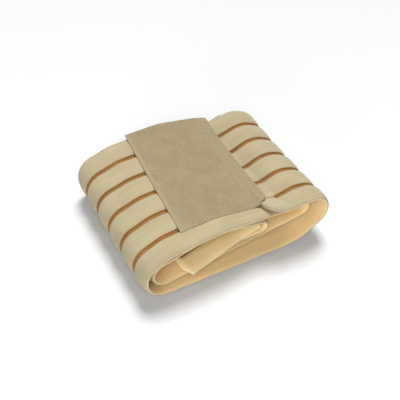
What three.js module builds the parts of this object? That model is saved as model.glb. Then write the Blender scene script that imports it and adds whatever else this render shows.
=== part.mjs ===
// A wrist support wrap, wound into a flat roll and closed by its hook tab.
// Millimetres. X runs along the ribs, Y across the strap with the front edge at -Y,
// Z up from the surface it lies on.

import * as THREE from "three";

// Driving sizes
const STRAP = { frontY: -35.6, backY: 37.4, channelPitch: 12.5, channelWidth: 1.7 };
const THICKNESS = { ground: 1.0, rib: 2.2, edge: 1.1 };
const EDGE_CURL = { depth: 0.25, width: 3.0 };
const TAB = { leftX: -21.4, rightX: 20.9, frontY: -27.2, backY: 39.0, skew: 0.044, thickness: 1.0 };
const TAB_STEPS = { along: 24, across: 9 };
const TAB_SUPPORT = { minX: -36, maxX: 23.5, minZ: 16 };
const TAB_DRAPE = { slope: 0.7, reach: 1.0, samples: 8, slide: 2.0, pressed: 14 };
const CORNER = { across: 8.5, along: 5.9, power: 1.7, lift: 0.5, liftReach: 12 };
const GAP = 0.3;
const COLOURS = { strap: "#c8bb96", tab: "#b09f7c" };

// Half of a rib's outline, from its side to its top, beside a channel and at the strap's edge:
// share of the rib's width, share of its rise
const RIB_OUTLINE = [
  { across: 0.0, rise: 0.0 },
  { across: 0.07, rise: 0.7 },
  { across: 0.25, rise: 1.0 },
];
const EDGE_OUTLINE = [
  { across: 0.0, rise: 0.0 },
  { across: 0.12, rise: 0.55 },
  { across: 0.4, rise: 1.0 },
];

// The winding of the strap's inner face, from the outer end to the inner end.
// Each row is a bend, a circle (centre x, centre z, radius r) at the front edge, the middle and the back edge.
// A positive radius turns clockwise seen from the front, a negative one the other way, and an end has none.
// "slide" is how far the strap has slid back where it enters and leaves the bend.
// "steps" is how many pieces the bend is cut into.
const CREST_RADIUS = 30;
const THIRD_CREST_RADIUS = CREST_RADIUS - THICKNESS.rib - 2 * GAP;
const RISE_RADIUS = 24;
const RISE_Z = THICKNESS.rib + RISE_RADIUS;
const LOWER_DIP_RADIUS = -9;
const UPPER_DIP_RADIUS = LOWER_DIP_RADIUS + THICKNESS.rib + GAP;
const LENS_RADIUS = -7;
const WINDING = [
  {
    bend: "outer end", slide: [0, 0], steps: 0,
    front: { x: 15.4, z: 22.5, r: 0 },
    middle: { x: 15.4, z: 18.3, r: 0 },
    back: { x: 15.6, z: 18.5, r: 0 },
  },
  {
    bend: "upper dip beside the tab", slide: [0, 0], steps: 3,
    front: { x: 25.0, z: 27.9, r: UPPER_DIP_RADIUS },
    middle: { x: 22.5, z: 22.7, r: UPPER_DIP_RADIUS },
    back: { x: 23.0, z: 22.6, r: UPPER_DIP_RADIUS },
  },
  {
    bend: "bulge over the right end", slide: [0, 0], steps: 3,
    front: { x: 34.0, z: 10.9, r: 11.0 },
    middle: { x: 33.5, z: 8.6, r: 11.0 },
    back: { x: 34.5, z: 7.2, r: 11.0 },
  },
  {
    bend: "outer right fold", slide: [0, -1.2], steps: 8,
    front: { x: 36.9, z: 14.9, r: 7.1 },
    middle: { x: 38.0, z: 11.6, r: 6.4 },
    back: { x: 39.2, z: 10.4, r: 6.2 },
  },
  {
    bend: "rise from the surface", slide: [-1.8, -1.8], steps: 4,
    front: { x: 22.0, z: RISE_Z, r: RISE_RADIUS },
    middle: { x: 24.0, z: RISE_Z, r: RISE_RADIUS },
    back: { x: 25.0, z: RISE_Z, r: RISE_RADIUS },
  },
  {
    bend: "outer left fold, lower", slide: [-1.8, -0.6], steps: 7,
    front: { x: -33.5, z: THICKNESS.rib + 8.4, r: 8.4 },
    middle: { x: -35.5, z: THICKNESS.rib + 8.0, r: 8.0 },
    back: { x: -35.8, z: THICKNESS.rib + 8.4, r: 8.4 },
  },
  {
    bend: "outer left fold, upper", slide: [-0.5, 0], steps: 5,
    front: { x: -27.6, z: 5.2, r: 16.0 },
    middle: { x: -27.0, z: 2.5, r: 18.0 },
    back: { x: -27.2, z: 2.7, r: 18.4 },
  },
  {
    bend: "crest under the tab", slide: [0.6, 1.2], steps: 4,
    front: { x: -8.0, z: 22.5 - CREST_RADIUS, r: CREST_RADIUS },
    middle: { x: -7.0, z: 21.2 - CREST_RADIUS, r: CREST_RADIUS },
    back: { x: -5.0, z: 21.9 - CREST_RADIUS, r: CREST_RADIUS },
  },
  {
    bend: "lower dip under the outer end", slide: [2.6, 2.6], steps: 3,
    front: { x: 25.0, z: 27.3, r: LOWER_DIP_RADIUS },
    middle: { x: 22.5, z: 22.3, r: LOWER_DIP_RADIUS },
    back: { x: 23.0, z: 22.4, r: LOWER_DIP_RADIUS },
  },
  {
    bend: "second right fold", slide: [4.5, 4.5], steps: 7,
    front: { x: 34.0, z: 14.2, r: 3.6 },
    middle: { x: 31.5, z: 11.3, r: 3.4 },
    back: { x: 31.5, z: 10.8, r: 3.2 },
  },
  {
    bend: "settling on the bottom layer", slide: [6.2, 6.2], steps: 2,
    front: { x: 14.0, z: 25.1, r: 20.0 },
    middle: { x: 14.0, z: 25.1, r: 20.0 },
    back: { x: 14.0, z: 25.1, r: 20.0 },
  },
  {
    bend: "second left fold", slide: [0.8, 0.8], steps: 9,
    front: { x: -32.5, z: 11.1, r: 5.7 },
    middle: { x: -32.2, z: 10.6, r: 5.4 },
    back: { x: -32.4, z: 10.8, r: 5.6 },
  },
  {
    bend: "third layer under the crest", slide: [3.4, 3.4], steps: 3,
    front: { x: -8.0, z: 22.5 - CREST_RADIUS, r: THIRD_CREST_RADIUS },
    middle: { x: -7.0, z: 21.2 - CREST_RADIUS, r: THIRD_CREST_RADIUS },
    back: { x: -5.0, z: 21.9 - CREST_RADIUS, r: THIRD_CREST_RADIUS },
  },
  {
    bend: "third right fold", slide: [2.0, 2.0], steps: 7,
    front: { x: 12.6, z: 15.2, r: 2.2 },
    middle: { x: 10.5, z: 12.1, r: 2.0 },
    back: { x: 10.0, z: 13.3, r: 2.0 },
  },
  {
    bend: "third left fold", slide: [4.4, -3.2], steps: 6,
    front: { x: -22.9, z: 8.5, r: 0.5 },
    middle: { x: -23.8, z: 8.4, r: 0.5 },
    back: { x: -22.6, z: 8.4, r: 0.5 },
  },
  {
    bend: "lift inside the third right fold", slide: [2.0, 2.0], steps: 2,
    front: { x: 2.0, z: 12.5 - LENS_RADIUS, r: LENS_RADIUS },
    middle: { x: 2.0, z: 10.6 - LENS_RADIUS, r: LENS_RADIUS },
    back: { x: 2.0, z: 11.5 - LENS_RADIUS, r: LENS_RADIUS },
  },
  {
    bend: "inner end", slide: [2.9, 2.9], steps: 0,
    front: { x: 13.2, z: 14.3, r: 0 },
    middle: { x: 11.0, z: 11.1, r: 0 },
    back: { x: 10.5, z: 12.3, r: 0 },
  },
];
const STEPS_BETWEEN_BENDS = 1;
const MIDDLE_Y = (STRAP.frontY + STRAP.backY) / 2;
const HALF_WIDTH = (STRAP.backY - STRAP.frontY) / 2;

// A bend of the winding at y, on a parabola through its front, middle and back values
function bendAt(row, y) {
  const t = (y - MIDDLE_Y) / HALF_WIDTH;
  const value = (key) => {
    const slope = (row.back[key] - row.front[key]) / 2;
    const bow = (row.back[key] + row.front[key]) / 2 - row.middle[key];
    return row.middle[key] + slope * t + bow * t * t;
  };
  return { x: value("x"), z: value("z"), r: value("r"), slide: row.slide, steps: row.steps };
}

// Heading of the straight run that leaves one bend and meets the next
function headingBetween(a, b) {
  const dx = b.x - a.x;
  const dz = b.z - a.z;
  return Math.atan2(dz, dx) - Math.asin((a.r - b.r) / Math.hypot(dx, dz));
}

// Point on a bend at a heading, with share the part of the bend's turn made by then
function pointOnBend(bend, heading, share) {
  const x = bend.x - bend.r * Math.sin(heading);
  const z = bend.z + bend.r * Math.cos(heading);
  const [enter, leave] = bend.slide;
  return { x, z, heading, slide: enter + (leave - enter) * share };
}

function between(a, b, share) {
  const mix = (key) => a[key] + (b[key] - a[key]) * share;
  return { x: mix("x"), z: mix("z"), heading: mix("heading"), slide: mix("slide") };
}

// Stations of the inner face at y, from the outer end to the inner end
function windingAt(y) {
  const bends = WINDING.map((row) => bendAt(row, y));
  const stations = [];
  let heading = headingBetween(bends[0], bends[1]);
  bends.forEach((bend, i) => {
    const next = bends[i + 1];
    const leave = next ? headingBetween(bend, next) : heading;
    const turn = turnBetween(heading, leave, Math.sign(bend.r));
    for (let k = 0; k <= bend.steps; k++) {
      const share = k / (bend.steps || 1);
      stations.push(pointOnBend(bend, heading + turn * share, share));
    }
    heading += turn;
    if (!next) return;
    const from = pointOnBend(bend, heading, 1);
    const to = pointOnBend(next, heading, 0);
    for (let k = 1; k <= STEPS_BETWEEN_BENDS; k++) {
      stations.push(between(from, to, k / (STEPS_BETWEEN_BENDS + 1)));
    }
  });
  return roundCorner(stations, y);
}

// Signed turn from one heading to the next, clockwise bends turning by a negative angle
function turnBetween(enter, leave, side) {
  if (side === 0) return 0;
  const full = 2 * Math.PI;
  const turned = ((((enter - leave) * side + Math.PI / 2) % full) + full) % full;
  return -side * (turned - Math.PI / 2);
}

// The outer end with its front corner rounded off and a little lifted
function roundCorner(stations, y) {
  const into = Math.max(0, CORNER.across - (y - STRAP.frontY)) / CORNER.across;
  const trim = CORNER.along * into ** CORNER.power;
  const count = 2 * STEPS_BETWEEN_BENDS + WINDING[1].steps + 2;
  const lengths = [0];
  for (let i = 1; i <= count; i++) {
    const step = Math.hypot(stations[i].x - stations[i - 1].x, stations[i].z - stations[i - 1].z);
    lengths.push(lengths[i - 1] + step);
  }
  const total = lengths[count];
  const start = lengths.slice(0, count).map((length) => {
    const wanted = trim + (length * (total - trim)) / total;
    const after = Math.max(1, lengths.findIndex((l) => l >= wanted));
    const share = (wanted - lengths[after - 1]) / (lengths[after] - lengths[after - 1]);
    const station = between(stations[after - 1], stations[after], share);
    station.z += CORNER.lift * into * Math.max(0, 1 - wanted / CORNER.liftReach);
    return station;
  });
  return [...start, ...stations.slice(count)];
}

// Points round the strap's section: y across the width, h above the inner face
function strapSection() {
  const channels = [-2, -1, 0, 1, 2].map((k) => k * STRAP.channelPitch);
  const sides = [STRAP.frontY, ...channels, STRAP.backY];
  const section = [];
  for (let rib = 0; rib + 1 < sides.length; rib++) {
    const atFront = rib === 0;
    const atBack = rib + 2 === sides.length;
    const first = sides[rib] + (atFront ? 0 : STRAP.channelWidth / 2);
    const last = sides[rib + 1] - (atBack ? 0 : STRAP.channelWidth / 2);
    const firstLow = atFront ? THICKNESS.edge - EDGE_CURL.depth : THICKNESS.ground;
    const lastLow = atBack ? THICKNESS.edge - EDGE_CURL.depth : THICKNESS.ground;
    const rising = (atFront ? EDGE_OUTLINE : RIB_OUTLINE).map(({ across, rise }) => ({
      y: first + across * (last - first),
      h: firstLow + rise * (THICKNESS.rib - firstLow),
    }));
    const falling = (atBack ? EDGE_OUTLINE : RIB_OUTLINE).map(({ across, rise }) => ({
      y: last - across * (last - first),
      h: lastLow + rise * (THICKNESS.rib - lastLow),
    }));
    section.push(...rising, ...falling.reverse());
  }
  section.push({ y: STRAP.backY, h: -EDGE_CURL.depth }, { y: STRAP.backY - EDGE_CURL.width, h: 0 });
  channels.reverse().forEach((y) => section.push({ y, h: 0 }));
  section.push({ y: STRAP.frontY + EDGE_CURL.width, h: 0 }, { y: STRAP.frontY, h: -EDGE_CURL.depth });
  return section;
}

// A closed mesh from rings of points with the same count, and a cap on each end
function closedSweep(rings, capTriangles) {
  const count = rings[0].length;
  const last = (rings.length - 1) * count;
  const index = [];
  for (let i = 0; i + 1 < rings.length; i++) {
    for (let k = 0; k < count; k++) {
      const a = i * count + k;
      const b = i * count + ((k + 1) % count);
      index.push(a, a + count, b, b, a + count, b + count);
    }
  }
  for (const [a, b, c] of capTriangles) index.push(a, b, c, last + a, last + c, last + b);
  const geometry = new THREE.BufferGeometry();
  const positions = rings.flat().flatMap((p) => [p.x, p.y, p.z]);
  geometry.setAttribute("position", new THREE.Float32BufferAttribute(positions, 3));
  geometry.setIndex(index);
  geometry.computeVertexNormals();
  return geometry;
}

function elasticStrap() {
  const section = strapSection();
  const columns = section.map(({ y, h }) =>
    windingAt(y).map((s) => ({
      x: s.x - h * Math.sin(s.heading),
      y: y + s.slide,
      z: s.z + h * Math.cos(s.heading),
    })),
  );
  const rings = columns[0].map((_, i) => columns.map((column) => column[i]));
  return closedSweep(rings, sectionCap(section));
}

// Triangles that fill the strap's section, stepping across its outer and inner sides together
function sectionCap(section) {
  const cap = [];
  const innerBack = section.findIndex((point) => point.h <= 0);
  let outer = 0;
  let inner = section.length - 1;
  while (outer < innerBack - 1 || inner > innerBack) {
    const stepInner = inner > innerBack && section[inner - 1].y < section[outer + 1].y;
    if (stepInner || outer === innerBack - 1) cap.push([outer, inner - 1, inner--]);
    else cap.push([outer, ++outer, inner]);
  }
  return cap;
}

// Height of the tab over the rib tops at y: pressed down along its front edge, taut further back
function tabHeight(y) {
  const tops = [...ribTops(y), ...ribTops(y - TAB_DRAPE.slide)]
    .filter((p) => p.z > TAB_SUPPORT.minZ && p.x > TAB_SUPPORT.minX && p.x < TAB_SUPPORT.maxX);
  const taut = tautLine(tops);
  const share = Math.min(1, (y - TAB.frontY) / TAB_DRAPE.pressed);
  const under = (p, x) => p.z - TAB_DRAPE.slope * Math.max(0, Math.abs(x - p.x) - TAB_DRAPE.reach);
  return (x) => {
    const laid = Math.max(...tops.map((p) => under(p, x)));
    return laid + Math.max(0, taut(x) - laid) * share;
  };
}

// Height of a taut line over points
function tautLine(points) {
  const line = [];
  for (const p of [...points].sort((a, b) => a.x - b.x)) {
    while (line.length > 1 && turnsUp(line.at(-2), line.at(-1), p)) line.pop();
    line.push(p);
  }
  return (x) => {
    const after = line.findIndex((p, i) => i > 0 && (p.x >= x || i === line.length - 1));
    const [a, b] = [line[after - 1], line[after]];
    return a.z + ((b.z - a.z) * (x - a.x)) / (b.x - a.x);
  };
}

function turnsUp(a, b, c) {
  return (b.x - a.x) * (c.z - a.z) - (b.z - a.z) * (c.x - a.x) >= 0;
}

// Points on the rib tops of the whole winding at y
function ribTops(y) {
  const tops = windingAt(Math.min(STRAP.backY, y)).map((s) => ({
    x: s.x - THICKNESS.rib * Math.sin(s.heading),
    z: s.z + THICKNESS.rib * Math.cos(s.heading),
  }));
  return tops.flatMap(pointsToNext);
}

// Points from one rib top towards the next
function pointsToNext(point, i, points) {
  const next = points[i + 1] ?? point;
  return Array.from({ length: TAB_DRAPE.samples }, (_, k) => {
    const share = k / TAB_DRAPE.samples;
    return { x: point.x + (next.x - point.x) * share, z: point.z + (next.z - point.z) * share };
  });
}

function hookTab() {
  const rings = [];
  for (let j = 0; j <= TAB_STEPS.across; j++) {
    const y = TAB.frontY + ((TAB.backY - TAB.frontY) * j) / TAB_STEPS.across;
    const height = tabHeight(y);
    const under = [];
    for (let i = 0; i <= TAB_STEPS.along; i++) {
      const x = TAB.leftX + ((TAB.rightX - TAB.leftX) * i) / TAB_STEPS.along + TAB.skew * y;
      under.push({ x, y, z: height(x) + GAP });
    }
    const over = under.map(({ x, z }) => ({ x, y, z: z + TAB.thickness })).reverse();
    rings.push([...under, ...over]);
  }
  const cap = [];
  for (let i = 0; i < TAB_STEPS.along; i++) {
    const upper = 2 * TAB_STEPS.along + 1 - i;
    cap.push([i, i + 1, upper], [i + 1, upper - 1, upper]);
  }
  return closedSweep(rings, cap);
}

function piece(name, geometry, colour) {
  const material = new THREE.MeshStandardMaterial({ color: colour, roughness: 0.95, metalness: 0 });
  const mesh = new THREE.Mesh(geometry, material);
  mesh.name = name;
  return mesh;
}

// The whole wrap, centred over the origin with its lowest rib tops at z = 0
const wrap = new THREE.Group();
wrap.add(piece("elastic_strap", elasticStrap(), COLOURS.strap));
wrap.add(piece("hook_tab", hookTab(), COLOURS.tab));
const box = new THREE.Box3().setFromObject(wrap);
const centre = box.getCenter(new THREE.Vector3());
for (const mesh of wrap.children) mesh.geometry.translate(-centre.x, -centre.y, -box.min.z);

export default wrap;
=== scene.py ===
"""A wrist support wrap, wound into a flat roll and closed by its hook tab."""

import math
from collections import namedtuple

import bpy
from mathutils import Matrix, Vector, noise


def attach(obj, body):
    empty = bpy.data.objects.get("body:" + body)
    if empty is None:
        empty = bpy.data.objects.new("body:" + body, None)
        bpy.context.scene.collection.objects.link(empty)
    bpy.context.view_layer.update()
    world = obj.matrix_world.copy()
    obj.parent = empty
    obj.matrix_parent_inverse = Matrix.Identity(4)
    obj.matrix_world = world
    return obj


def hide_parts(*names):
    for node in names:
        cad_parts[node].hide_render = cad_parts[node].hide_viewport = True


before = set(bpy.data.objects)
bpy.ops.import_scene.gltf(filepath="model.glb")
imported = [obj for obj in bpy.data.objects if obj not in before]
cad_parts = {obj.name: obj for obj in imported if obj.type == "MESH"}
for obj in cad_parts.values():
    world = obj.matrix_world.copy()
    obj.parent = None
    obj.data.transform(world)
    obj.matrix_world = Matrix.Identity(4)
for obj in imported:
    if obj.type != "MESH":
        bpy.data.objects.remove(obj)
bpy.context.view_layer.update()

# Driving sizes of the strap, in millimetres.
# Meshes are scaled to metres and shifted to the part's frame as they are made.
MM = 0.001
SHIFT_X = -0.511
SHIFT_Y = -2.4
FRONT_Y = -35.6
BACK_Y = 37.4
MIDDLE_Y = (FRONT_Y + BACK_Y) / 2
HALF_WIDTH = (BACK_Y - FRONT_Y) / 2
CHANNEL_PITCH = 12.5
CHANNEL_WIDTH = 1.5
CHANNEL_FLOOR = 0.5
CHANNEL_DIP = 0.06
CHANNELS = [k * CHANNEL_PITCH for k in (-2, -1, 0, 1, 2)]
GROUND = 1.0
RIB = 2.2
RIB_POWER = 4
SHOULDER_POWER = 2.2
SHOULDER_ROUND = 0.62
EDGE_LOW = 0.1
EDGE_HIGH = 0.75
EDGE_BULGE = 0.08
CURL_WIDTH = 2.5
RIB_COLUMNS = 16
WALL_COLUMNS = 2
EDGE_COLUMNS = 6
INNER_COLUMNS = 40
STATION_STEP = 1.1
CORNER_ACROSS = 8.5
CORNER_ALONG = 5.9
CORNER_POWER = 1.7
CORNER_LIFT = 0.5
CORNER_REACH = 12.0
END_BINDING = 1.5
# The pale front outer corner is partly the bound end and partly a painted highlight on the lifted corner
CORNER_BINDING_AND_HIGHLIGHT = 6.8
CORNER_BINDING_AND_HIGHLIGHT_BACK = -22.2
# How far from the inner end the ribs take the lighter copy of the rib cloth, painted light for the flap
# inside the roll
PAINTED_LIGHT_FLAP_LENGTH = 40.0
GAP = 0.3
UV_UNIT = 100.0

# Driving sizes of the hook tab and its stitches
TAB_LEFT = -21.4
TAB_RIGHT = 20.9
TAB_FRONT = -27.2
TAB_BACK = 39.0
TAB_SKEW = 0.044
TAB_THICKNESS = 0.4
TAB_CORNER_ALONG = 5.0
TAB_CORNER_ACROSS = 4.0
TAB_CORNER_POWER = 1.6
TAB_ALONG = 100
TAB_ACROSS = 120
TAB_SIDE_COLUMNS = 6
TAB_END_ROUND = 0.5
TAB_END_SHARE = 0.8
TAB_BORDER = 2.0
TAB_SEAM = 7.0
TAB_SAG = 0.16
TAB_SAG_WIDTH = 1.6
TAB_FRONT_SAG = 0.35
TAB_FRONT_SAG_WIDTH = 3.0
TAB_GAP = 0.14
TAB_EDGE_PRESS = 0.25
TAB_SLOPE = 0.8
TAB_PRESSED = 14.0
TAB_SMOOTHING = 1.2
SLIDE_STEP = 3.0
SUPPORT_LEFT = -36.0
SUPPORT_RIGHT = 23.5
SUPPORT_LOW = 16.0
STITCH_ROWS = (1.6, 4.6)
STITCH_PITCH = 2.7
STITCH_LENGTH = 2.0
STITCH_RADIUS = 0.2
STITCH_TIP = 0.15
STITCH_POWER = 4
STITCH_SINK = 0.06
STITCH_STAGGER = 1 / 3
STITCH_STOP = 1.0
STITCH_STEPS = 8
STITCH_SIDES = 8

# The unevenness of the cloth: how deep it is, how long its waves are along and across, and a seed
Waves = namedtuple("Waves", "depth along across seed")
RIB_WAVES = Waves(0.07, 11, 7, 0.0)
YARN_WAVES = Waves(0.035, 1.6, 1.3, 9.0)
INNER_WAVES = Waves(0.05, 9, 9, 4.0)
STRAP_WAVER = Waves(0.12, 17, 20, 2.0)
TAB_WAVES = Waves(0.06, 8, 8, 6.0)

# Looks that every cloth has, and the scale at which a wave texture makes one band in a unit
CLOTH_SPECULAR = 0.15
CLOTH_SHEEN = 0.12
CLOTH_SHEEN_ROUGHNESS = 0.6
ONE_BAND = math.pi / 10

# The stage in metres, with the camera's lens in millimetres and the key light's width in degrees
FLOOR_SIZE = 60.0
FLOOR_DROP = 0.0001
FLOOR_COLOUR = (0.70, 0.706, 0.714, 1.0)
FLOOR_ROUGHNESS = 0.9
KEY_FROM = (0.22, 0.30, 0.60)
KEY_WIDTH = 26
KEY_STRENGTH = 3.7
Fill = namedtuple("Fill", "name place size power")
FILLS = [
    Fill("camera_fill", (-0.284, -0.557, 0.647), 0.5, 3.8),
    Fill("low_fill", (-0.65, -0.55, 0.10), 0.4, 3.4),
]
AMBIENT = 0.13
SENSOR_WIDTH = 36.0
FOCAL_LENGTH = 63.0
CLIP_START = 0.01
EYE = (-0.10176, -0.20138, 0.23817)
EYE_RIGHT = (0.8912, -0.4535, 0.0)
EYE_UP = (0.3261, 0.6409, 0.6949)

# The winding of the strap's inner face, from the outer end to the inner end.
# Each bend is a circle (centre x, centre z, radius) at the front edge, the middle and the back edge.
# A positive radius turns clockwise seen from the front.
# The slides are how far the strap has slid back where it enters and leaves the bend.
Bend = namedtuple("Bend", "name slides front middle back")
RISE = 24.0
CREST = 30.0
CREST_CENTRES = [(-8, 22.5 - CREST), (-7, 21.2 - CREST), (-5, 21.9 - CREST)]
UNDER_CREST = CREST - RIB - 2 * GAP
LOWER_DIP = -9.0
UPPER_DIP = LOWER_DIP + RIB + GAP
LIFT = -7.0
WINDING = [
    Bend("outer end", (0, 0), (15.4, 22.5, 0), (15.4, 18.3, 0), (15.6, 18.5, 0)),
    Bend("upper dip", (0, 0), (25, 27.9, UPPER_DIP), (22.5, 22.7, UPPER_DIP), (23, 22.6, UPPER_DIP)),
    Bend("right bulge", (0, 0), (34, 10.9, 11), (33.5, 8.6, 11), (34.5, 7.2, 11)),
    Bend("outer right fold", (0, -1.2), (36.9, 14.9, 7.1), (38, 11.6, 6.4), (39.2, 10.4, 6.2)),
    Bend("rise", (-1.8, -1.8), (22, RIB + RISE, RISE), (24, RIB + RISE, RISE), (25, RIB + RISE, RISE)),
    Bend("outer left fold, lower", (-1.8, -0.6), (-33.5, 10.6, 8.4), (-35.5, 10.2, 8.0), (-35.8, 10.6, 8.4)),
    Bend("outer left fold, upper", (-0.5, 0), (-27.6, 5.2, 16), (-27, 2.5, 18), (-27.2, 2.7, 18.4)),
    Bend("crest", (0.6, 1.2), *[(x, z, CREST) for x, z in CREST_CENTRES]),
    Bend("lower dip", (2.6, 2.6), (25, 27.3, LOWER_DIP), (22.5, 22.3, LOWER_DIP), (23, 22.4, LOWER_DIP)),
    Bend("second right fold", (4.5, 4.5), (34, 14.2, 3.6), (31.5, 11.3, 3.4), (31.5, 10.8, 3.2)),
    Bend("settling", (6.2, 6.2), (14, 25.1, 20), (14, 25.1, 20), (14, 25.1, 20)),
    Bend("second left fold", (0.8, 0.8), (-32.5, 11.1, 5.7), (-32.2, 10.6, 5.4), (-32.4, 10.8, 5.6)),
    Bend("under crest", (3.4, 3.4), *[(x, z, UNDER_CREST) for x, z in CREST_CENTRES]),
    Bend("third right fold", (2.0, 2.0), (12.6, 15.2, 2.2), (10.5, 12.1, 2.0), (10, 13.3, 2.0)),
    Bend("third left fold", (4.4, -3.2), (-22.9, 8.5, 0.5), (-23.8, 8.4, 0.5), (-22.6, 8.4, 0.5)),
    Bend("lift", (2.0, 2.0), (2, 12.5 - LIFT, LIFT), (2, 10.4 - LIFT, LIFT), (2, 11.3 - LIFT, LIFT)),
    Bend("inner end", (2.9, 2.9), (13.2, 14.3, 0), (11, 11.1, 0), (10.5, 12.3, 0)),
]
Station = namedtuple("Station", "x z heading slide")


# The path of the strap
def bends_at(y):
    """The bends' centres and radii at y, on parabolas through their front, middle and back values."""
    t = (y - MIDDLE_Y) / HALF_WIDTH
    bends = []
    for row in WINDING:
        slopes = [(b - f) / 2 for f, b in zip(row.front, row.back)]
        bows = [(b + f) / 2 - m for f, m, b in zip(row.front, row.middle, row.back)]
        bends.append([m + s * t + w * t * t for m, s, w in zip(row.middle, slopes, bows)])
    return bends


def heading_between(a, b):
    """Heading of the straight run that leaves one bend and meets the next."""
    dx, dz = b[0] - a[0], b[1] - a[1]
    return math.atan2(dz, dx) - math.asin((a[2] - b[2]) / math.hypot(dx, dz))


def turn_between(enter, leave, radius):
    """Signed turn of a bend from one heading to the next."""
    if radius == 0:
        return 0.0
    side = math.copysign(1.0, radius)
    turned = ((enter - leave) * side + math.pi / 2) % (2 * math.pi)
    return -side * (turned - math.pi / 2)


def on_bend(bend, heading, slide):
    x, z, radius = bend
    return Station(x - radius * math.sin(heading), z + radius * math.cos(heading), heading, slide)


def mix(a, b, share):
    return Station(*(p + (q - p) * share for p, q in zip(a, b)))


def runs_at(y):
    """For each bend at y: its circle, the heading it is entered with and its turn."""
    bends = bends_at(y)
    heading = heading_between(bends[0], bends[1])
    runs = []
    for i, bend in enumerate(bends):
        leave = heading_between(bend, bends[i + 1]) if i + 1 < len(bends) else heading
        turn = turn_between(heading, leave, bend[2])
        runs.append((bend, heading, turn))
        heading += turn
    return runs


def step_counts():
    """How many steps each bend and the straight run after it are cut into, from the middle of the strap."""
    runs = runs_at(MIDDLE_Y)
    counts = []
    for i, (bend, heading, turn) in enumerate(runs):
        arc = (abs(bend[2]) + RIB) * abs(turn)
        bend_steps = max(2, math.ceil(arc / STATION_STEP)) if bend[2] else 0
        run_steps = 0
        if i + 1 < len(runs):
            start = on_bend(bend, heading + turn, 0)
            end = on_bend(runs[i + 1][0], heading + turn, 0)
            run_steps = max(2, math.ceil(math.hypot(end.x - start.x, end.z - start.z) / STATION_STEP))
        counts.append((bend_steps, run_steps))
    return counts


STEPS = step_counts()
END_STATIONS = 1 + STEPS[0][1] + STEPS[1][0] + STEPS[1][1]


def winding_at(y):
    """Stations of the inner face at y, from the outer end to the inner end."""
    runs = runs_at(y)
    stations = []
    for i, (bend, heading, turn) in enumerate(runs):
        bend_steps, run_steps = STEPS[i]
        enter, leave = WINDING[i].slides
        for k in range(bend_steps + 1):
            share = k / max(1, bend_steps)
            stations.append(on_bend(bend, heading + turn * share, enter + (leave - enter) * share))
        if run_steps:
            end = on_bend(runs[i + 1][0], heading + turn, WINDING[i + 1].slides[0])
            start = stations[-1]
            stations += [mix(start, end, k / run_steps) for k in range(1, run_steps)]
    return round_corner(stations, y)


def round_corner(stations, y):
    """The outer end with its front corner rounded off and a little lifted."""
    into = max(0.0, CORNER_ACROSS - (y - FRONT_Y)) / CORNER_ACROSS
    trim = CORNER_ALONG * into**CORNER_POWER
    lengths = path_lengths(stations[: END_STATIONS + 1])
    total = lengths[-1]
    start = []
    after = 1
    for length in lengths[:-1]:
        wanted = trim + length * (total - trim) / total
        while lengths[after] < wanted:
            after += 1
        share = (wanted - lengths[after - 1]) / (lengths[after] - lengths[after - 1])
        station = mix(stations[after - 1], stations[after], share)
        lift = CORNER_LIFT * into * max(0.0, 1 - wanted / CORNER_REACH) ** 2
        start.append(station._replace(z=station.z + lift))
    return start + stations[END_STATIONS:]


def path_lengths(stations):
    lengths = [0.0]
    for a, b in zip(stations, stations[1:]):
        lengths.append(lengths[-1] + math.hypot(b.x - a.x, b.z - a.z))
    return lengths


# The section of the strap: y across, h above the inner face, and the zone that starts at the point
def rib_points(first, last, at_front, at_back):
    """A rib's outline from its front side to its back side, steep at a channel and sloping at an edge."""
    points = []
    for k in range(RIB_COLUMNS + 1):
        s = -math.cos(math.pi * k / RIB_COLUMNS)
        at_edge = at_front if s < 0 else at_back
        low = EDGE_HIGH if at_edge else GROUND
        rise = math.sqrt(max(0.0, 1 - s**RIB_POWER))
        if at_edge:
            rise = max(0.0, 1 - abs(s) ** SHOULDER_POWER) ** SHOULDER_ROUND
        wall = (k < WALL_COLUMNS and not at_front) or (k >= RIB_COLUMNS - WALL_COLUMNS and not at_back)
        y = (first + last) / 2 + s * (last - first) / 2
        points.append((y, low + rise * (RIB - low), "channel" if wall else "rib"))
    return points


def edge_points(y, outward, rising):
    """The rounded selvedge on one edge of the strap."""
    points = []
    for k in range(1, EDGE_COLUMNS):
        angle = math.pi * k / EDGE_COLUMNS
        h = (EDGE_LOW + EDGE_HIGH) / 2 + math.cos(angle) * (EDGE_HIGH - EDGE_LOW) / 2
        points.append((y + outward * EDGE_BULGE * math.sin(angle), h, "edge"))
    return points[::-1] if rising else points


def strap_section():
    """The closed section: ribs and channels from front to back, then the inner face back to the front."""
    sides = [FRONT_Y, *CHANNELS, BACK_Y]
    half = CHANNEL_WIDTH / 2
    section = []
    for i, (a, b) in enumerate(zip(sides, sides[1:])):
        at_front, at_back = i == 0, i + 2 == len(sides)
        rib = rib_points(a if at_front else a + half, b if at_back else b - half, at_front, at_back)
        section += rib[:-1]
        last = rib[-1]
        section.append((last[0], last[1], "edge" if at_back else "channel"))
        if not at_back:
            section += [(b + side * CHANNEL_FLOOR / 2, GROUND - CHANNEL_DIP, "channel") for side in (-1, 1)]
    section += edge_points(BACK_Y, 1, False)
    for k in range(INNER_COLUMNS + 1):
        y = BACK_Y + (FRONT_Y - BACK_Y) * k / INNER_COLUMNS
        curl = max(0.0, 1 - min(y - FRONT_Y, BACK_Y - y) / CURL_WIDTH)
        section.append((y, EDGE_LOW * curl * curl, "inner" if k < INNER_COLUMNS else "edge"))
    return section + edge_points(FRONT_Y, -1, True)


def cap_triangles(section):
    """Triangles that fill the section, stepping across its outer and inner sides together."""
    turn = max(range(len(section)), key=lambda k: section[k][0])
    triangles = []
    outer, inner = 0, len(section)
    while outer < turn or inner > turn + 1:
        step_inner = inner > turn + 1 and section[inner - 1][0] < section[min(outer + 1, turn)][0]
        if step_inner or outer == turn:
            triangles.append((outer, inner - 1, inner % len(section)))
            inner -= 1
        else:
            triangles.append((outer, outer + 1, inner % len(section)))
            outer += 1
    return [t for t in triangles if len(set(t)) == 3]


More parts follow.
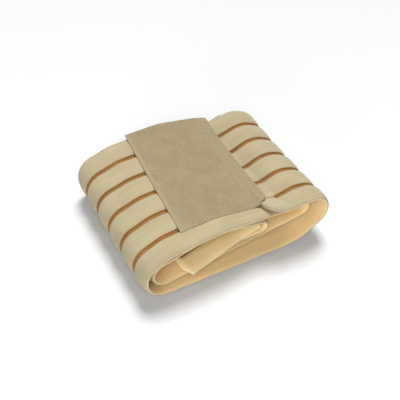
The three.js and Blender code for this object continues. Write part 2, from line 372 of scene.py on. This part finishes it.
# Meshes
def make_mesh(name, points, faces, zones, uvs, materials, flat=()):
    """A mesh from points in millimetres, with a material for each zone and uv in units of 100 mm.

    It is smooth except for the faces numbered in flat.
    """
    mesh = bpy.data.meshes.new(name)
    mesh.from_pydata([((x + SHIFT_X) * MM, (y + SHIFT_Y) * MM, z * MM) for x, y, z in points], [], faces)
    names = list(materials)
    for material in materials.values():
        mesh.materials.append(material)
    mesh.polygons.foreach_set("material_index", [names.index(zone) for zone in zones])
    mesh.polygons.foreach_set("use_smooth", [k not in flat for k in range(len(faces))])
    layer = mesh.uv_layers.new(name="cloth")
    layer.data.foreach_set("uv", [c / UV_UNIT for corner in uvs for uv in corner for c in uv])
    mesh.validate()
    mesh.update()
    piece = bpy.data.objects.new(name, mesh)
    bpy.context.scene.collection.objects.link(piece)
    return piece


def wave_height(waves, along, across):
    """How high uneven cloth stands at a place on it."""
    return waves.depth * noise.noise(Vector((along / waves.along, across / waves.across, waves.seed)))


def unevenness(along, across, zone):
    """How far the strap's face stands off its even height there."""
    if zone in ("inner", "edge"):
        return wave_height(INNER_WAVES, along, across)
    return wave_height(RIB_WAVES, along, across) + wave_height(YARN_WAVES, along, across)


def strap_zone(point, along, length):
    """The zone of a face that starts at a section point, so far along the strap."""
    y, _, zone = point
    # The front outer corner stays pale further along: partly the bound end, partly a painted highlight on
    # the lifted corner
    pale_reach = CORNER_BINDING_AND_HIGHLIGHT if y < CORNER_BINDING_AND_HIGHLIGHT_BACK else END_BINDING
    if along < pale_reach and zone in ("rib", "channel") and y > FRONT_Y + CURL_WIDTH:
        return "binding_and_highlight"
    # Ribs near the inner end take a much lighter copy of the rib cloth: painted light for the flap, which
    # lies in the roll's shade
    if zone == "rib" and along > length - PAINTED_LIGHT_FLAP_LENGTH:
        return "flap_painted_light"
    return zone


def strap_points(section, lengths):
    """The section's points at every station, one station after the other."""
    columns = []
    for y, h, zone in section:
        column = []
        for station, length in zip(winding_at(min(BACK_Y, max(FRONT_Y, y))), lengths):
            waver = wave_height(STRAP_WAVER, length, y)
            height = h + unevenness(length, y, zone)
            sin, cos = math.sin(station.heading), math.cos(station.heading)
            column.append((station.x - height * sin, y + station.slide + waver, station.z + height * cos))
        columns.append(column)
    return [point for row in zip(*columns) for point in row]


def elastic_strap(materials):
    """The section swept along the winding, with both ends closed."""
    section = strap_section()
    lengths = path_lengths(winding_at(MIDDLE_Y))
    rows, count = len(lengths), len(section)
    points = strap_points(section, lengths)
    across = [0.0]
    for a, b in zip(section, section[1:] + section[:1]):
        across.append(across[-1] + math.hypot(b[0] - a[0], b[1] - a[1]))
    faces, zones, uvs = [], [], []
    for i in range(rows - 1):
        for k in range(count):
            j = (k + 1) % count
            faces.append((i * count + k, (i + 1) * count + k, (i + 1) * count + j, i * count + j))
            zones.append(strap_zone(section[k], lengths[i], lengths[-1]))
            u0, u1, v0, v1 = lengths[i], lengths[i + 1], across[k], across[k + 1]
            uvs.append([(u0, v0), (u1, v0), (u1, v1), (u0, v1)])
    last = (rows - 1) * count
    for a, b, c in cap_triangles(section):
        for face in ((a, b, c), (last + a, last + c, last + b)):
            faces.append(face)
            zones.append("binding_and_highlight")
            uvs.append([(points[p][1], points[p][2]) for p in face])
    return make_mesh("elastic_strap_cloth", points, faces, zones, uvs, materials)


def tab_line(y):
    """Height function of the tab over the rib tops at y.

    The tab is pressed down along its front edge and taut further back.
    """
    here = winding_at(min(BACK_Y, y))
    before = winding_at(min(BACK_Y, y - SLIDE_STEP))
    winding = [mix(a, b, a.slide / SLIDE_STEP) for a, b in zip(here, before)]
    tops = [(s.x - RIB * math.sin(s.heading), s.z + RIB * math.cos(s.heading)) for s in winding]
    spans = [pair for pair in zip(tops, tops[1:]) if all(supports(*top) for top in pair)]
    taut = taut_spans([top for top in tops if supports(*top)])
    share = min(1.0, (y - TAB_FRONT) / TAB_PRESSED)

    def height(x):
        laid = max(over_span(a, b, x) for a, b in spans)
        pulled = max(over_span(a, b, x) for a, b in taut)
        return laid + max(0.0, pulled - laid) * share

    return height


def supports(x, z):
    return z > SUPPORT_LOW and SUPPORT_LEFT < x < SUPPORT_RIGHT


def taut_spans(points):
    """The spans of a taut line over points."""
    line = []
    for p in sorted(points):
        while len(line) > 1 and turns_up(line[-2], line[-1], p):
            line.pop()
        line.append(p)
    return list(zip(line, line[1:]))


def turns_up(a, b, c):
    return (b[0] - a[0]) * (c[1] - a[1]) - (b[1] - a[1]) * (c[0] - a[0]) >= 0


def over_span(a, b, x):
    """Height at x of cloth held up by the span from a to b."""
    run = b[0] - a[0]
    share = min(1.0, max(0.0, (x - a[0]) / run))
    return a[1] + (b[1] - a[1]) * share - TAB_SLOPE * abs(x - a[0] - run * share)


def tab_sag(y):
    """How far the tab sinks between two ribs and over the shoulder of the front rib at y."""
    between_ribs = TAB_SAG * sum(math.exp(-(((y - c) / TAB_SAG_WIDTH) ** 2)) for c in CHANNELS)
    return between_ribs + TAB_FRONT_SAG * max(0.0, 1 - (y - TAB_FRONT) / TAB_FRONT_SAG_WIDTH)


def tab_height(height, x, y):
    """Height of the tab's underside over the rib tops, uneven as pressed tape is."""
    bare = height(x)
    smooth = (height(x - TAB_SMOOTHING) + 2 * bare + height(x + TAB_SMOOTHING)) / 4
    return max(bare, smooth) + TAB_GAP - tab_sag(y) + wave_height(TAB_WAVES, x, y)


def tab_zone(distance_left, distance_right):
    if distance_right < TAB_SEAM:
        return "seam"
    return "border" if distance_left < TAB_BORDER else "field"


def corner_cut(y):
    """How far the tab's rounded front right corner is cut back at y."""
    return TAB_CORNER_ALONG * max(0.0, 1 - (y - TAB_FRONT) / TAB_CORNER_ACROSS) ** TAB_CORNER_POWER


def edge_rounding(share):
    """How far the tab's upper face is rounded down, that share of the way in from an edge."""
    return TAB_THICKNESS / 2 * (1 - math.sqrt(1 - (1 - share) ** 2))


def tab_row(y):
    """Points round the tab at y: its underside from left to right, then its upper face back again."""
    height = tab_line(y)
    end = min(1.0, min(y - TAB_FRONT, TAB_BACK - y) / TAB_END_ROUND)
    width = TAB_RIGHT - TAB_LEFT - corner_cut(y)
    under, over = [], []
    for i in range(TAB_ALONG + 1):
        x = TAB_LEFT + width * (1 - math.cos(math.pi * i / TAB_ALONG)) / 2 + TAB_SKEW * y
        side = min(1.0, min(i, TAB_ALONG - i) / TAB_SIDE_COLUMNS)
        z = tab_height(height, x, y)
        round_off = max(edge_rounding(side), TAB_END_SHARE * edge_rounding(end))
        under.append((x, y, z - TAB_EDGE_PRESS * (1 - min(side, end))))
        over.append((x, y, z + TAB_THICKNESS - round_off))
    return under + over[::-1]


def hook_tab(materials):
    """The tape as a closed sheet, with its cut edges shaded flat."""
    points, faces, zones, uvs = [], [], [], []
    cut_edges = set()
    count = 2 * (TAB_ALONG + 1)
    for j in range(TAB_ACROSS + 1):
        points += tab_row(TAB_FRONT + (TAB_BACK - TAB_FRONT) * j / TAB_ACROSS)
    for j in range(TAB_ACROSS):
        for k in range(count):
            n = (k + 1) % count
            if k in (TAB_ALONG, count - 1):
                cut_edges.add(len(faces))
            faces.append((j * count + k, j * count + n, (j + 1) * count + n, (j + 1) * count + k))
            corner = points[j * count + k]
            left = corner[0] - TAB_LEFT - TAB_SKEW * corner[1]
            zones.append(tab_zone(left, TAB_RIGHT - TAB_LEFT - left))
            uvs.append([points[p][:2] for p in faces[-1]])
    last = TAB_ACROSS * count
    for i in range(TAB_ALONG):
        upper = count - 1 - i
        for face in ((i, upper, upper - 1, i + 1), (last + i, last + i + 1, last + upper - 1, last + upper)):
            cut_edges.add(len(faces))
            faces.append(face)
            zones.append("border")
            uvs.append([(points[p][0], points[p][2]) for p in face])
    return make_mesh("hook_tab_tape", points, faces, zones, uvs, materials, cut_edges)


def stitch_rings(first, inset):
    """Rings of points round one stitch, from its front end to its back end."""
    rings = []
    for k in range(STITCH_STEPS + 1):
        share = k / STITCH_STEPS
        y = first + STITCH_LENGTH * share
        x = TAB_RIGHT - inset + TAB_SKEW * y
        swell = STITCH_RADIUS * max(STITCH_TIP, math.sqrt(max(0.0, 1 - (2 * share - 1) ** STITCH_POWER)))
        middle = tab_height(tab_line(y), x, y) + TAB_THICKNESS + swell - STITCH_RADIUS + STITCH_SINK
        turns = [2 * math.pi * n / STITCH_SIDES for n in range(STITCH_SIDES)]
        rings.append([(x + swell * math.cos(a), y, middle + swell * math.sin(a)) for a in turns])
    return rings


def tab_stitches(material):
    """Two rows of stitches that sew the tab to the strap's outer end."""
    points, faces = [], []
    for inset in STITCH_ROWS:
        first = TAB_FRONT + TAB_CORNER_ACROSS + inset * STITCH_STAGGER
        while first + STITCH_LENGTH < TAB_BACK - STITCH_STOP:
            base = len(points)
            points += [point for ring in stitch_rings(first, inset) for point in ring]
            for k in range(STITCH_STEPS):
                low, high = base + k * STITCH_SIDES, base + (k + 1) * STITCH_SIDES
                for n in range(STITCH_SIDES):
                    m = (n + 1) % STITCH_SIDES
                    faces.append((low + n, low + m, high + m, high + n))
            faces.append([base + n for n in range(STITCH_SIDES)][::-1])
            faces.append([base + STITCH_STEPS * STITCH_SIDES + n for n in range(STITCH_SIDES)])
            first += STITCH_PITCH
    uvs = [[points[p][:2] for p in face] for face in faces]
    return make_mesh("hook_tab_stitches", points, faces, ["thread"] * len(faces), uvs, {"thread": material})


# Materials
def linear(red, green, blue):
    """A colour from 0 to 255 values."""
    values = [c / 255 for c in (red, green, blue)]
    return [c / 12.92 if c <= 0.04045 else ((c + 0.055) / 1.055) ** 2.4 for c in values] + [1.0]


WHITE = linear(255, 255, 255)


class Cloth:
    """A cloth material under construction, with its pattern laid out on the cloth in millimetres."""

    def __init__(self, name, roughness):
        self.material = bpy.data.materials.new(name)
        self.material.use_nodes = True
        self.nodes = self.material.node_tree.nodes
        self.shader = self.nodes["Principled BSDF"]
        self.shader.inputs["Roughness"].default_value = roughness
        self.shader.inputs["Specular IOR Level"].default_value = CLOTH_SPECULAR
        self.shader.inputs["Sheen Weight"].default_value = CLOTH_SHEEN
        self.shader.inputs["Sheen Roughness"].default_value = CLOTH_SHEEN_ROUGHNESS
        self.uv = self.nodes.new("ShaderNodeUVMap")
        self.uv.uv_map = "cloth"

    def link(self, source, target):
        self.material.node_tree.links.new(source, target)

    def place(self, along, across):
        """Cloth coordinates in which one unit is that many millimetres along and across."""
        mapping = self.nodes.new("ShaderNodeMapping")
        mapping.inputs["Scale"].default_value = (UV_UNIT / along, UV_UNIT / across, 1.0)
        self.link(self.uv.outputs["UV"], mapping.inputs["Vector"])
        return mapping.outputs["Vector"]

    def noise(self, along, across, detail=2.0):
        """Soft blots about that many millimetres long and wide."""
        texture = self.nodes.new("ShaderNodeTexNoise")
        texture.inputs["Scale"].default_value = 1.0
        texture.inputs["Detail"].default_value = detail
        self.link(self.place(along, across), texture.inputs["Vector"])
        return texture.outputs["Fac"]

    def bands(self, pitch, direction, distortion=0.6):
        """Yarns side by side along a direction, a pitch in millimetres apart."""
        texture = self.nodes.new("ShaderNodeTexWave")
        texture.bands_direction = direction
        texture.inputs["Scale"].default_value = ONE_BAND
        texture.inputs["Distortion"].default_value = distortion
        texture.inputs["Detail"].default_value = 1.0
        self.link(self.place(pitch, pitch), texture.inputs["Vector"])
        return texture.outputs["Fac"]

    def maths(self, operation, first, second):
        node = self.nodes.new("ShaderNodeMath")
        node.operation = operation
        for socket, value in zip(node.inputs, (first, second)):
            if isinstance(value, (int, float)):
                socket.default_value = value
            else:
                self.link(value, socket)
        return node.outputs["Value"]

    def ramp(self, factor, low, high, start=0.3, end=0.7):
        """A colour from low to high as a factor goes from start to end."""
        node = self.nodes.new("ShaderNodeValToRGB")
        node.color_ramp.elements[0].position = start
        node.color_ramp.elements[0].color = low
        node.color_ramp.elements[1].position = end
        node.color_ramp.elements[1].color = high
        self.link(factor, node.inputs["Fac"])
        return node.outputs["Color"]

    def shaded(self, colour, shade, amount):
        """A colour multiplied by a shade, by an amount from 0 to 1."""
        node = self.nodes.new("ShaderNodeMix")
        node.data_type = "RGBA"
        node.blend_type = "MULTIPLY"
        node.inputs["Factor"].default_value = amount
        self.link(colour, node.inputs["A"])
        self.link(shade, node.inputs["B"])
        return node.outputs["Result"]

    def finish(self, colour, height, strength, distance):
        """The material with its colour and a relief of a distance in millimetres."""
        bump = self.nodes.new("ShaderNodeBump")
        bump.inputs["Strength"].default_value = strength
        bump.inputs["Distance"].default_value = distance * MM
        self.link(height, bump.inputs["Height"])
        self.link(bump.outputs["Normal"], self.shader.inputs["Normal"])
        self.link(colour, self.shader.inputs["Base Color"])
        return self.material


def rib_cloth(name, dark, light):
    """Knitted ribs with fine yarns across and faint streaks along them."""
    cloth = Cloth(name, roughness=0.85)
    yarns = cloth.bands(pitch=0.8, direction="X")
    warps = cloth.bands(pitch=0.6, direction="Y")
    weave = cloth.maths("MULTIPLY", yarns, cloth.maths("ADD", 0.5, warps))
    streaks = cloth.ramp(cloth.noise(along=26, across=1.4), low=dark, high=light)
    blots = cloth.noise(along=14, across=9)
    patches = cloth.ramp(blots, low=linear(228, 224, 214), high=linear(255, 253, 249))
    shade = cloth.ramp(weave, low=linear(244, 241, 235), high=WHITE, start=0.0, end=1.0)
    colour = cloth.shaded(cloth.shaded(streaks, patches, amount=0.5), shade, amount=0.3)
    return cloth.finish(colour, weave, strength=0.12, distance=0.1)


def channel_thread():
    """Caramel threads crossing the narrow channels between the ribs."""
    cloth = Cloth("channel_thread", roughness=0.8)
    threads = cloth.bands(pitch=1.1, direction="X", distortion=1.2)
    colour = cloth.ramp(threads, low=linear(143, 100, 49), high=linear(157, 113, 56), start=0.1, end=0.9)
    worn = cloth.ramp(cloth.noise(along=9, across=3), low=linear(205, 195, 185), high=WHITE)
    return cloth.finish(cloth.shaded(colour, worn, amount=0.7), threads, strength=0.3, distance=0.2)


def inner_cloth():
    """Plain caramel weave of the inner face."""
    cloth = Cloth("inner_cloth", roughness=0.88)
    weave = cloth.maths("ADD", cloth.bands(pitch=0.7, direction="X"), cloth.bands(pitch=0.7, direction="Y"))
    streaks = cloth.noise(along=18, across=2.0)
    tone = cloth.ramp(streaks, low=linear(236, 205, 150), high=linear(243, 214, 162))
    shade = cloth.ramp(weave, low=linear(238, 230, 218), high=WHITE, start=0.0, end=1.0)
    return cloth.finish(cloth.shaded(tone, shade, amount=0.4), weave, strength=0.15, distance=0.12)


def edge_yarn():
    """Pale yarn that binds the strap's long edges."""
    cloth = Cloth("edge_yarn", roughness=0.85)
    turns = cloth.bands(pitch=0.9, direction="X", distortion=0.8)
    colour = cloth.ramp(turns, low=linear(208, 188, 148), high=linear(220, 202, 164), start=0.0, end=1.0)
    worn = cloth.ramp(cloth.noise(along=12, across=4), low=linear(226, 220, 210), high=WHITE)
    return cloth.finish(cloth.shaded(colour, worn, amount=0.6), turns, strength=0.4, distance=0.2)


def end_binding_and_corner_highlight():
    """Pale finish on the strap's cut ends; on its front outer corner the same pale colour is partly a
    painted highlight where the lifted corner catches the light.
    """
    cloth = Cloth("end_binding_and_corner_highlight", roughness=0.8)
    grain = cloth.noise(along=0.5, across=0.9)
    colour = cloth.ramp(grain, low=linear(168, 156, 128), high=linear(176, 164, 138))
    return cloth.finish(colour, grain, strength=0.3, distance=0.12)


def tape_field():
    """Khaki tape with a fine light and dark speckle."""
    cloth = Cloth("tape_field", roughness=0.9)
    lengthwise = cloth.bands(pitch=1.0, direction="X", distortion=1.5)
    crosswise = cloth.bands(pitch=0.8, direction="Y", distortion=1.5)
    weave = cloth.maths("ADD", lengthwise, crosswise)
    speckle = cloth.noise(along=0.58, across=0.58, detail=1.0)
    height = cloth.maths("ADD", speckle, cloth.maths("MULTIPLY", weave, 0.2))
    tone = cloth.ramp(speckle, low=linear(136, 121, 91), high=linear(160, 146, 115), start=0.32, end=0.68)
    patches = cloth.ramp(cloth.noise(along=8, across=8), low=linear(228, 224, 214), high=WHITE)
    return cloth.finish(cloth.shaded(tone, patches, amount=0.6), height, strength=0.3, distance=0.2)


def tape_border():
    """Smooth closely woven border of the tape."""
    cloth = Cloth("tape_border", roughness=0.85)
    yarns = cloth.bands(pitch=0.6, direction="Y", distortion=0.8)
    colour = cloth.ramp(yarns, low=linear(148, 134, 103), high=linear(157, 143, 112), start=0.0, end=1.0)
    return cloth.finish(colour, yarns, strength=0.3, distance=0.12)


def tape_seam():
    """The tape where it is sewn to the strap's end, without the broad patches of its field."""
    cloth = Cloth("tape_seam", roughness=0.88)
    speckle = cloth.noise(along=0.6, across=0.6, detail=1.0)
    colour = cloth.ramp(speckle, low=linear(133, 119, 90), high=linear(160, 146, 117))
    return cloth.finish(colour, speckle, strength=0.35, distance=0.2)


def stitch_thread():
    """Twisted khaki thread, a little paler than the tape."""
    cloth = Cloth("stitch_thread", roughness=0.75)
    twist = cloth.bands(pitch=0.4, direction="DIAGONAL", distortion=0.3)
    colour = cloth.ramp(twist, low=linear(151, 137, 106), high=linear(164, 151, 121), start=0.0, end=1.0)
    return cloth.finish(colour, twist, strength=0.3, distance=0.06)


# Stage
def floor():
    material = bpy.data.materials.new("floor_white")
    material.use_nodes = True
    shader = material.node_tree.nodes["Principled BSDF"]
    shader.inputs["Base Color"].default_value = FLOOR_COLOUR
    shader.inputs["Roughness"].default_value = FLOOR_ROUGHNESS
    shader.inputs["Specular IOR Level"].default_value = 0.0
    bpy.ops.mesh.primitive_plane_add(size=FLOOR_SIZE, location=(0, 0, -FLOOR_DROP))
    plane = bpy.context.object
    plane.name = "floor"
    plane.data.materials.append(material)


def soft_light(name, place, size, power):
    """A square light at a place in metres, facing the roll."""
    light = bpy.data.lights.new(name, "AREA")
    light.size = size
    light.energy = power
    lamp = bpy.data.objects.new(name, light)
    lamp.location = place
    lamp.rotation_euler = (-Vector(place)).to_track_quat("-Z", "Y").to_euler()
    bpy.context.scene.collection.objects.link(lamp)


def key_light(direction, width, strength):
    """A broad even light from a direction, as wide as an angle in degrees."""
    light = bpy.data.lights.new("key", "SUN")
    light.angle = math.radians(width)
    light.energy = strength
    lamp = bpy.data.objects.new("key", light)
    lamp.location = direction
    lamp.rotation_euler = Vector(direction).to_track_quat("Z", "Y").to_euler()
    bpy.context.scene.collection.objects.link(lamp)


def studio():
    floor()
    key_light(KEY_FROM, KEY_WIDTH, KEY_STRENGTH)
    for fill in FILLS:
        soft_light(*fill)
    world = bpy.data.worlds.new("studio")
    world.use_nodes = True
    background = world.node_tree.nodes["Background"]
    background.inputs["Color"].default_value = WHITE
    background.inputs["Strength"].default_value = AMBIENT
    bpy.context.scene.world = world
    bpy.context.scene.view_settings.view_transform = "Standard"


def camera():
    """The photo's view: 27 degrees from the front to the left, 46 degrees down."""
    data = bpy.data.cameras.new("camera")
    data.sensor_width = SENSOR_WIDTH
    data.lens = FOCAL_LENGTH
    data.clip_start = CLIP_START
    eye = bpy.data.objects.new("camera", data)
    right, up = Vector(EYE_RIGHT), Vector(EYE_UP)
    turned = Matrix((right, up, right.cross(up))).transposed().to_4x4()
    eye.matrix_world = Matrix.Translation(EYE) @ turned
    bpy.context.scene.collection.objects.link(eye)
    bpy.context.scene.camera = eye


def wrap():
    """The strap, the tab pressed on it and the stitches of the tab."""
    strap = elastic_strap(
        {
            "rib": rib_cloth("rib_cloth", dark=linear(171, 159, 128), light=linear(176, 164, 133)),
            # A much lighter copy of the rib cloth on the inner end's ribs: painted light standing in for
            # light inside the roll
            "flap_painted_light": rib_cloth("flap_cloth_painted_light", dark=linear(232, 212, 164), light=linear(238, 219, 172)),
            "channel": channel_thread(),
            "inner": inner_cloth(),
            "edge": edge_yarn(),
            # Bound ends, and on the front outer corner also a painted highlight
            "binding_and_highlight": end_binding_and_corner_highlight(),
        }
    )
    length = path_lengths(winding_at(MIDDLE_Y))[-1]
    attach(strap, "root")
    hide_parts("elastic_strap")
    tab = hook_tab({"field": tape_field(), "border": tape_border(), "seam": tape_seam()})
    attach(tab, "root")
    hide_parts("hook_tab")
    stitches = tab_stitches(stitch_thread())
    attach(stitches, "root")


wrap()
studio()
camera()
